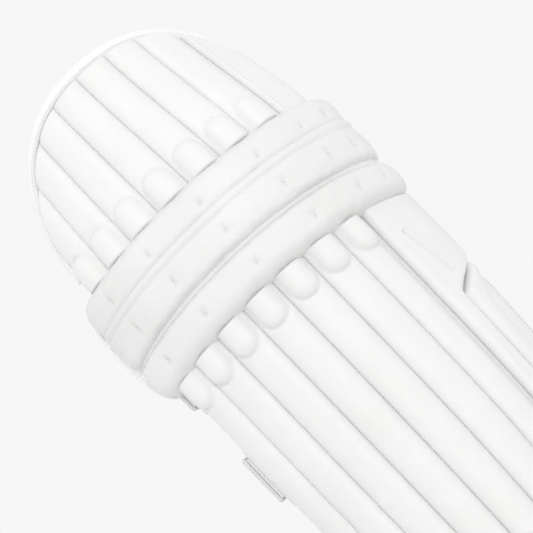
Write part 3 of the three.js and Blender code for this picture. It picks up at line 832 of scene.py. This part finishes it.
# ---- Folded bindings ----
def folded_edge(name, body, nodes, place, count, centre, half_width, middle, half_depth, seed):
    """A strip of leather folded over an edge. place(f) gives s, z and the unit direction off the edge."""
    turn = np.linspace(0, 2 * math.pi, 28, endpoint=False)
    A, F = grid(turn, np.linspace(0, 1, count))
    s, z, ds, dz = place(F)
    across = np.sign(np.cos(A)) * np.abs(np.cos(A)) ** 0.8
    deep = np.sign(np.sin(A)) * np.abs(np.sin(A)) ** 0.45
    out = centre + half_width * across
    t = valued(middle, F) + valued(half_depth, F) * deep
    t = t + 0.3 * noise(F * count, A * 3, 4, seed) * np.abs(deep)
    faces = grid_faces(len(turn), count, wrap_u=True)
    start = [k * count for k in range(len(turn))]
    faces += [start[::-1], [k + count - 1 for k in start]]
    binding = mesh_object(name, at(s + ds * out, z + dz * out, t), faces, BINDING)
    finish(binding, body, "binding", nodes)


def dome_edge(f):
    """The top hat's outline and the direction off it, from its right end at 0 to its left end at 1."""
    def outline(angle):
        c, up = np.cos(angle), np.abs(np.sin(angle))
        return (DOME_CENTRE + DOME_HALF * np.sign(c) * np.abs(c) ** (2 / DOME_POWER),
                DOME_BASE + DOME_RISE * up ** (2 / DOME_POWER))

    angle = math.pi * (0.045 + 0.912 * f)
    s, z = outline(angle)
    ahead, back = outline(angle + 0.01), outline(angle - 0.01)
    ds, dz = ahead[0] - back[0], ahead[1] - back[1]
    size = np.hypot(ds, dz)
    return s, z, dz / size, -ds / size


def build_binding():
    """The binding round the top hat, from one end of the knee rolls to the other."""
    def right(f):
        return ramp(0.34 - f, 0, 0.3)

    folded_edge("top_hat_binding_leather", HAT, ["top_hat_binding"], dome_edge, 280, 0.6, 6.2, -4.7,
                lambda f: 11 - 2.6 * right(f), 81)

    def line(f):
        f = 0.02 + 0.96 * f
        s, z, ds, dz = dome_edge(f)
        return on_pad(s - ds * 2.6, z - dz * 2.6, 5.8 - 2.5 * right(f))
    sew("top_hat_binding_stitching", line, HAT, "binding", 3.8, 2.6, 0.36)


# ---- Wings ----
STITCH_INSET = 7.5
PAD_EDGE = [(92, 166), (315, 166), (326, 172), (349, 224), (360, 232), (457, 232)]
PAD_BOTTOM, PAD_LEVEL, PAD_RISE = 92, 395, 9.6
FLUTE = ((161, 408), (175, 353))
BOLSTER_EDGE = [(0, 196), (292, 197), (312, 211), (332, 227), (350, 229)]
BOLSTER_START, BOLSTER_BOTTOM, BOLSTER_LEVEL, BOLSTER_TOP, BOLSTER_RAKE = 168.5, 20, 290, 318, 0.5
FLARE, FLARE_START, FLARE_FADE = 6.5, 198, (316, 344)


def side_grid(near, far, height, columns, rows):
    """s and z over a panel that starts at near and ends at far(z), with rows at height(f, s)."""
    U, F = grid(columns, rows)
    S = near + 0 * U
    for _ in range(8):
        S = near + (far(height(F, S)) - near) * U
    return S, height(F, S)


def split_rows(bottom, level, share, top):
    """Heights that run level from the bottom, and from level on fan out to a slanting top."""
    return lambda f, s: np.where(f < share, bottom + (level - bottom) * f / share,
                                 level + (top(s) - level) * (f - share) / (1 - share))


def free_gap(far, S, Z):
    """Distance to a free edge at far(z), measured square to it."""
    return (far(Z) - S) / np.hypot(1, (far(Z + 1) - far(Z - 1)) / 2)


def flare(s, z, edge):
    """How far the outer wing's free edge stands away from the leg, below the wing pad."""
    reach = np.maximum(curve(edge, z) - 6, FLARE_START + 6)
    return FLARE * ramp(s, FLARE_START, reach) * (1 - ramp(z, *FLARE_FADE))


def wing(name, sign, edge, node):
    def stands(s, z):
        return flare(s, z, edge) * (sign > 0)

    near = FACE_HALF + 1.3
    top = beside(1, -1, sign)
    S, Z = side_grid(near, lambda z: curve(edge, z), lambda f, s: top(s) * f, rim_steps(0, 1, 40, 0.03),
                     rim_steps(0, 1, 110, 0.008))
    side = np.minimum((S - near) * 3, curve(edge, Z) - S)
    gap = np.minimum(side, within(Z, 0, top(S)))
    inset = 3.5 * (1 - raised(gap, 3.5, 2))
    soft = 0.5 * noise(S, Z, 40, 91) + 0.2 * noise(S, Z, 13, 92)
    out = stands(S, Z)
    panel = panel_shell(name + "_leather", sign * S, Z, out + soft * 0.6 - 0.3 - inset,
                        out + FOAM_BACK + inset + soft)
    finish(panel, SHIN, "white_leather", [node], 0.8)
    head = beside(1, -1, sign, 3)(curve(edge, HEIGHT))
    height, row = between(2, head), between(4, head - 4)

    def free_edge(f):
        z = height(f)
        return sign * curve(edge, z), z, sign + 0 * z, 0 * z

    def middle(f):
        return FOAM_BACK / 2 - 0.1 + stands(curve(edge, height(f)), height(f))

    folded_edge(name + "_binding", SHIN, (), free_edge, 150, -1.2, 3.4, middle, 7, 93)

    def along(f):
        return curve(edge, row(f)) - STITCH_INSET

    for face, t in (("outside", 0.3), ("inside", FOAM_BACK - 0.3)):
        line = surface_line(lambda f: sign * along(f), row, lambda f, t=t: t + stands(along(f), row(f)))
        sew(f"{name}_{face}_stitching", line, SHIN)


def build_wing_pad():
    """The moulded pad beside the knee, with a rounded flute pressed into it, and the strip below it."""
    def far(z):
        return curve(PAD_EDGE, z)

    height = split_rows(PAD_BOTTOM, PAD_LEVEL, 0.8, lambda s: seam_z(0, s) + 2.5)
    S, Z = side_grid(WING_START + 0.2, far, height, rim_steps(0, 1, 84, 0.05), rim_steps(0, 1, 250, 0.008))
    rise = raised(S - WING_START + 0.4, 7.5) * raised(free_gap(far, S, Z), 7.5) * raised(Z - PAD_BOTTOM, 18)
    (s0, z0), (s1, z1) = FLUTE
    f = np.clip(((S - s0) * (s1 - s0) + (Z - z0) * (z1 - z0)) / ((s1 - s0) ** 2 + (z1 - z0) ** 2), 0, 1)
    distance = np.hypot(S - s0 - f * (s1 - s0), Z - z0 - f * (z1 - z0))
    flute = 3.6 * (1 - ramp(distance, 0.8, 3.6)) - 0.7 * np.exp(-((distance - 4.8) / 1.4) ** 2)
    soft = 0.4 * noise(S, Z, 24, 95) + 0.15 * noise(S, Z, 8, 96)
    T = 1.5 + (PAD_RISE + 0.9 + soft - flute) * rise
    pad = panel_shell("outer_wing_pad_leather", S, Z, T, 0.3)
    finish(pad, SHIN, "white_leather", ["outer_wing_pad"], 0.9)
    seam = surface_line(BOLSTER_START - 1.2, between(BOLSTER_BOTTOM + 4, BOLSTER_TOP - 2), 1.2)
    sew("outer_wing_seam_stitching", seam, SHIN, "white_leather", 4.8, 3.3, 0.5, 0.5)


def build_bolster():
    """The round bolster below the wing pad, wide at its head and narrow down the shin."""
    def far(z):
        return curve(BOLSTER_EDGE, z)

    def top(s):
        return BOLSTER_TOP + (s - 166) * BOLSTER_RAKE

    height = split_rows(BOLSTER_BOTTOM, BOLSTER_LEVEL, 0.7, top)
    S, Z = side_grid(BOLSTER_START, far, height, rim_steps(0, 1, 44, 0.06), rim_steps(0, 1, 200, 0.01))
    rise = raised(S - BOLSTER_START, 12) * raised(free_gap(far, S, Z), 17)
    rise *= raised(Z - BOLSTER_BOTTOM, 14) * raised((top(S) - Z) * 0.9, 9)
    soft = 0.4 * noise(S, Z, 20, 97) + 0.2 * noise(S, Z, 7, 98)
    bolster = panel_shell("lower_wing_bolster_leather", S, Z, 1.5 + (9.6 + soft) * rise, 0.3)
    finish(bolster, SHIN, "white_leather", ["lower_wing_bolster"], 0.85)


def build_guard():
    """The padded band over the instep arch, with a bound lower edge."""
    s = rim_steps(-FACE_HALF, FACE_HALF, 150, 4)
    S, F = grid(s, rim_steps(0, 1, 26, 0.06))
    Z = arch(S) + F * GUARD_WIDTH
    rise = raised(F, 0.3) * raised(1 - F, 0.3) * raised(within(S, s[0], s[-1]), 6)
    soft = 0.45 * noise(S, Z, 14, 111) + 0.25 * noise(S, Z, 6, 112)
    guard = panel_shell("instep_guard_leather", S, Z, 1.9 + (10.2 + soft) * rise, 0.8, SOFT_LEATHER)
    finish(guard, SHIN, "white_leather", ["instep_guard"], 0.85)

    def arch_edge(f):
        s = 80 * (1 - 2 * f)
        slope = arch(s + 0.5) - arch(s - 0.5)
        size = np.hypot(1, slope)
        return s, arch(s), slope / size, -1 / size

    folded_edge("instep_binding", SHIN, (), arch_edge, 120, -2.2, 3, -6.3, 8.6, 113)


# ---- Padding against the leg ----
# Each bolster's ends across and up the lining, its height and its seed.
INNER_BOLSTERS = (("inner_bolster_left", -126, -92, 84, 386, 20, 121),
                  ("inner_bolster_right", 92, 126, 84, 386, 20, 123),
                  ("knee_locator_bolster", -96, 96, 398, 436, 18, 125))


def build_inner_bolster(name, s0, s1, z0, z1, rise, seed):
    s, z = rim_steps(s0, s1, max(12, int((s1 - s0) / 3)), 4), rim_steps(z0, z1, int((z1 - z0) / 3), 4)
    S, Z = grid(s, z)
    side, end = within(S, s0, s1), within(Z, z0, z1)
    short = min(s1 - s0, z1 - z0) / 2
    depth = 1.5 + (rise - 4) * raised(side, short) * raised(end, short)
    back = at(S, Z, LINING_BACK - 1.0 - depth)
    gap = np.minimum(side, end)
    rim = 1 - raised(gap, 8)
    gather = 0.8 * rim * noise(S, Z, 3.2, seed) + 0.3 * noise(S, Z, 12, seed + 1)
    back = stuffed(back, gap < 0.1, BOLSTER_SWELL, 14, flip=True) - outward(S, Z) * gather[..., None]
    piece = shell(name + "_fabric", at(S, Z, LINING_BACK - 0.6), back, BOLSTER)
    finish(piece, SHIN, "lining_fabric", [name], 0.8)


# ---- Straps ----
STRAPS = (("knee", 449, 44), ("calf", 326, 60), ("ankle", 110, 52))
STRAP_THICKNESS, STRAP_CENTRE, STRAP_TIP, STRAP_BOW = 4.2, 10.4, -154, 26
HINGE_IN, HINGE_BEHIND = 3, 8
STRAP_TURN = ((10, 13), (1.5, 6))
STRAP_BEHIND, LAP_FROM = 12, 4
HOOK_TAPE = (8.2, 4.9)
LOOP_PATCH = (4.8, 0.9)
TAPE_END, TAPE_TIP = -200, -154.3
ANCHOR_STEPS, ANCHOR_RADIUS = np.array([30, 20, 10, 2]), 3.6
ANCHOR_TURN = np.radians((-20, 50, 120, 190, 250))


def plan(s, z, t):
    return at(s, z, t)[..., :2] / MM


def spline(points, count):
    """Points of a uniform Catmull-Rom spline through the given ones."""
    p = np.asarray(points, float)
    f = np.linspace(0, len(p) - 1, count)
    i = np.minimum(f.astype(int), len(p) - 2)
    f = (f - i)[:, None]
    a, b = p[i], p[i + 1]
    leave, arrive = (b - p[np.maximum(i - 1, 0)]) / 2, (p[np.minimum(i + 2, len(p) - 1)] - a) / 2
    cube, square = 2 * a - 2 * b + leave + arrive, 3 * b - 3 * a - 2 * leave - arrive
    return cube * f ** 3 + square * f ** 2 + leave * f + a


def strap_hinge(z):
    return plan(curve(RIGHT_EDGE, z), z, FOAM_BACK / 2) + np.array([-HINGE_IN, HINGE_BEHIND])


def strap_route(z, hinge, count=170):
    """The strap's plan route: behind the leg, round the inner wing's edge and on to its outside."""
    left = -curve(LEFT_EDGE, z)
    corner = plan(left, z, STRAP_CENTRE)
    behind = [hinge + (corner + STRAP_BEHIND - hinge) * f + np.array([0, STRAP_BOW * math.sin(math.pi * f)])
              for f in (0.2, 0.5, 0.8)]
    turn = [corner + np.array(step) for step in STRAP_TURN]
    lap = [plan(s, z, STRAP_CENTRE) for s in np.linspace(left + LAP_FROM, STRAP_TIP, 6)]
    return spline([hinge, *behind, *turn, *lap], count)


def outside(routes):
    """The unit plan direction out of each route, square to it."""
    along = np.gradient(routes, axis=-2)
    along /= np.linalg.norm(along, axis=-1, keepdims=True)
    return np.stack([along[..., 1], -along[..., 0]], -1)


def band(name, routes, heights, thickness, material, tip=0.0):
    """A strap of even thickness with rounded edges; routes is one plan route for each height."""
    heights = heights[:, None] + 0 * routes[..., 0]
    low, high = heights.min(), heights.max()
    middle = (low + high) / 2
    from_tip = np.linspace(path_run(routes[len(routes) // 2])[-1], 0, routes.shape[1])
    if tip:
        heights = middle + (heights - middle) * (1 - tip * (1 - raised(from_tip, tip * 40, 2)))
    half = thickness / 2 * (0.35 + 0.65 * raised(within(heights, low, high), 1.4))
    step = outside(routes) * half[..., None]
    front, back = (np.concatenate([routes + side * step, heights[..., None]], -1).transpose(1, 0, 2) * MM
                   for side in (1, -1))
    return shell(name, front, back, material)


def build_straps():
    for name, z, width in STRAPS:
        low, high = z - width / 2, z + width / 2
        hinge = strap_hinge(z)
        heights = rim_steps(low, high, 9, 1.6)
        routes = np.stack([strap_route(h, hinge) for h in heights])
        body = name + "_strap"
        strap = band(body + "_webbing", routes, heights, STRAP_THICKNESS, STRAP, 0.3)
        finish(strap, body, "strap", [body])
        for edge, height in (("lower", low + 4), ("upper", high - 4)):
            line = strap_line(strap_route(height, hinge), height, STRAP_THICKNESS / 2)
            sew(f"{body}_{edge}_stitching", line, body, "strap")
        start = max(12 - curve(LEFT_EDGE, z), TAPE_END)
        hook = sewn_patch(f"{name}_hook_tape_field", start, TAPE_TIP, low + 3, high - 3, HOOK_TAPE, HOOKS)
        finish(hook, body, "hook_and_loop", [f"{name}_hook_tape"])
        loop = sewn_patch(f"{name}_loop_patch_field", start - 4, STRAP_TIP + 1, low - 12, high + 5,
                          LOOP_PATCH, LOOPS)
        finish(loop, SHIN, "hook_and_loop", [f"{name}_loop_patch"])
        box = box_line(start - 1, STRAP_TIP - 4, low - 9, high + 2, LOOP_PATCH[0])
        sew(f"{name}_loop_patch_stitching", box, SHIN, "hook_and_loop", *FINE_STITCH)
        build_anchor(body + "_anchor", z, low, high, hinge)


def strap_line(route, height, lift):
    """A stitch line along a plan route at one height, on its outer face."""
    where = np.linspace(0, 1, len(route))

    def line(f):
        f = 0.03 + 0.94 * f
        x, y, nx, ny = (np.interp(f, where, v) for v in (*route.T, *outside(route).T))
        normal = np.stack([nx, ny, 0 * nx], -1)
        return np.stack([x, y, height + 0 * x], -1) * MM + normal * lift * MM, normal
    return line


def sewn_patch(name, s0, s1, low, high, faces, material):
    front, back = faces
    S, Z = grid(rim_steps(s0, s1, 14, 2), rim_steps(low, high, 24, 2))
    edge = raised(edge_gap(S, Z, s0, s1, low, high), 1.5)
    soft = 0.15 * noise(S, Z, 6, 131) * edge
    return panel_shell(name, S, Z, back + (front - back) * (0.45 + 0.55 * edge) + soft, back, material)


def box_line(s0, s1, low, high, t):
    """A stitch line round a rectangle."""
    corners = np.array([(s0, low), (s1, low), (s1, high), (s0, high), (s0, low)], float)
    run = path_run(corners)

    def line(f):
        s, z = (np.interp(f * run[-1], run, c) for c in corners.T)
        return on_pad(s, z, t)
    return line


def build_anchor(name, z, low, high, hinge):
    """The webbing loop that joins a strap's root to the inside of the outer wing."""
    heights = rim_steps(low - 1, high + 1, 7, 1.5)

    def route(h):
        edge = curve(RIGHT_EDGE, h)
        sewn = [plan(s, h, FOAM_BACK - 1.6 + flare(s, h, RIGHT_EDGE)) for s in edge - ANCHOR_STEPS]
        turn = [hinge + ANCHOR_RADIUS * np.array([math.cos(a), math.sin(a)]) for a in ANCHOR_TURN]
        return spline([*sewn, *turn], 70)

    loop = band(name, np.stack([route(h) for h in heights]), heights, 1.8, STRAP)
    finish(loop, SHIN, "strap")
    s = curve(RIGHT_EDGE, z)
    box = box_line(s - 27, s - 9, low + 3, high - 3, FOAM_BACK - 2.6 + flare(s - 18, z, RIGHT_EDGE))
    sew(name + "_stitching", box, SHIN, "strap", 3.6, 2.5, 0.4)


# ---- The model's own nodes ----
def paint_nodes():
    looks = {"cane": CANE, "foam": FOAM, "strap": STRAP, "hook_and_loop": LOOPS, "lining_fabric": LINING,
             "white_leather": LEATHER, "binding": BINDING}
    slot_of = {part["node"]: part["material_slot"] for part in frame["record"]["subparts"]}
    for node, obj in frame["nodes"].items():
        obj.data.materials.clear()
        obj.data.materials.append(looks[slot_of[node]])


# ---- Stage and camera ----
SKY, SUN_FROM, SUN_STRENGTH, SUN_SPREAD = (0.925, 0.925, 0.925, 1), (0.26, -0.94, 0.2), 0.7, 18
FLOOR_RADIUS, FLOOR_SIDES, FLOOR_Z = 0.72, 96, -0.0005
# Degrees round, up and rolled, then metres.
VIEW_TURN, VIEW_TILT, VIEW_ROLL = 5.5, -7, 43.7
VIEW_DISTANCE, VIEW_WIDTH, SENSOR = 1.7, 0.533, 36.0
LOOK_RIGHT, LOOK_BACK, LOOK_HEIGHT = 0.0275, 0.01, 0.475


def build_stage():
    scene = bpy.context.scene
    scene.world = bpy.data.worlds.new("Pale")
    scene.world.use_nodes = True
    scene.world.node_tree.nodes["Background"].inputs["Color"].default_value = SKY
    scene.view_settings.view_transform = "Standard"
    light = bpy.data.lights.new("Key", "SUN")
    light.energy = SUN_STRENGTH
    light.angle = math.radians(SUN_SPREAD)
    sun = bpy.data.objects.new("Key", light)
    sun.rotation_euler = Vector(SUN_FROM).to_track_quat("Z", "Y").to_euler()
    scene.collection.objects.link(sun)
    turn = np.linspace(0, 2 * math.pi, FLOOR_SIDES, endpoint=False)
    verts = np.stack([FLOOR_RADIUS * np.cos(turn), FLOOR_RADIUS * np.sin(turn), 0 * turn + FLOOR_Z], 1)
    n = Nodes("Pale_floor")
    paper = n.finished(n.mix(n.noise(6), white(0.8), white(0.82)), 0.8)
    mesh_object("Floor", verts, [list(range(FLOOR_SIDES))], paper)


def turned(degrees, axis):
    return Matrix.Rotation(math.radians(degrees), 4, axis)


def build_camera():
    """A long lens, level with the knee, rolled so that the pad lies across the frame."""
    camera = bpy.data.cameras.new("Camera")
    camera.sensor_width = SENSOR
    camera.lens = SENSOR * VIEW_DISTANCE / VIEW_WIDTH
    obj = bpy.data.objects.new("Camera", camera)
    place = Matrix.Translation((ORIGIN_X * MM, ORIGIN_Y * MM, LOOK_HEIGHT)) @ turned(VIEW_TURN, "Z")
    place = place @ Matrix.Translation((LOOK_RIGHT, LOOK_BACK, 0)) @ turned(90 - VIEW_TILT, "X")
    obj.matrix_world = place @ turned(-VIEW_ROLL, "Z") @ Matrix.Translation((0, 0, VIEW_DISTANCE))
    bpy.context.collection.objects.link(obj)
    bpy.context.scene.camera = obj


build_camera()
build_stage()
paint_nodes()
build_cores()
build_linings()
build_faces()
build_webs()
for index, (roll_label, roll_body) in enumerate(ROLLS):
    build_roll(index, roll_label, roll_body)
build_roll_flaps()
build_flap()
build_binding()
wing("outer_wing", 1, RIGHT_EDGE, "outer_wing_panel")
wing("inner_wing", -1, LEFT_EDGE, "inner_wing_panel")
build_wing_pad()
build_bolster()
build_guard()
for bolster in INNER_BOLSTERS:
    build_inner_bolster(*bolster)
build_straps()
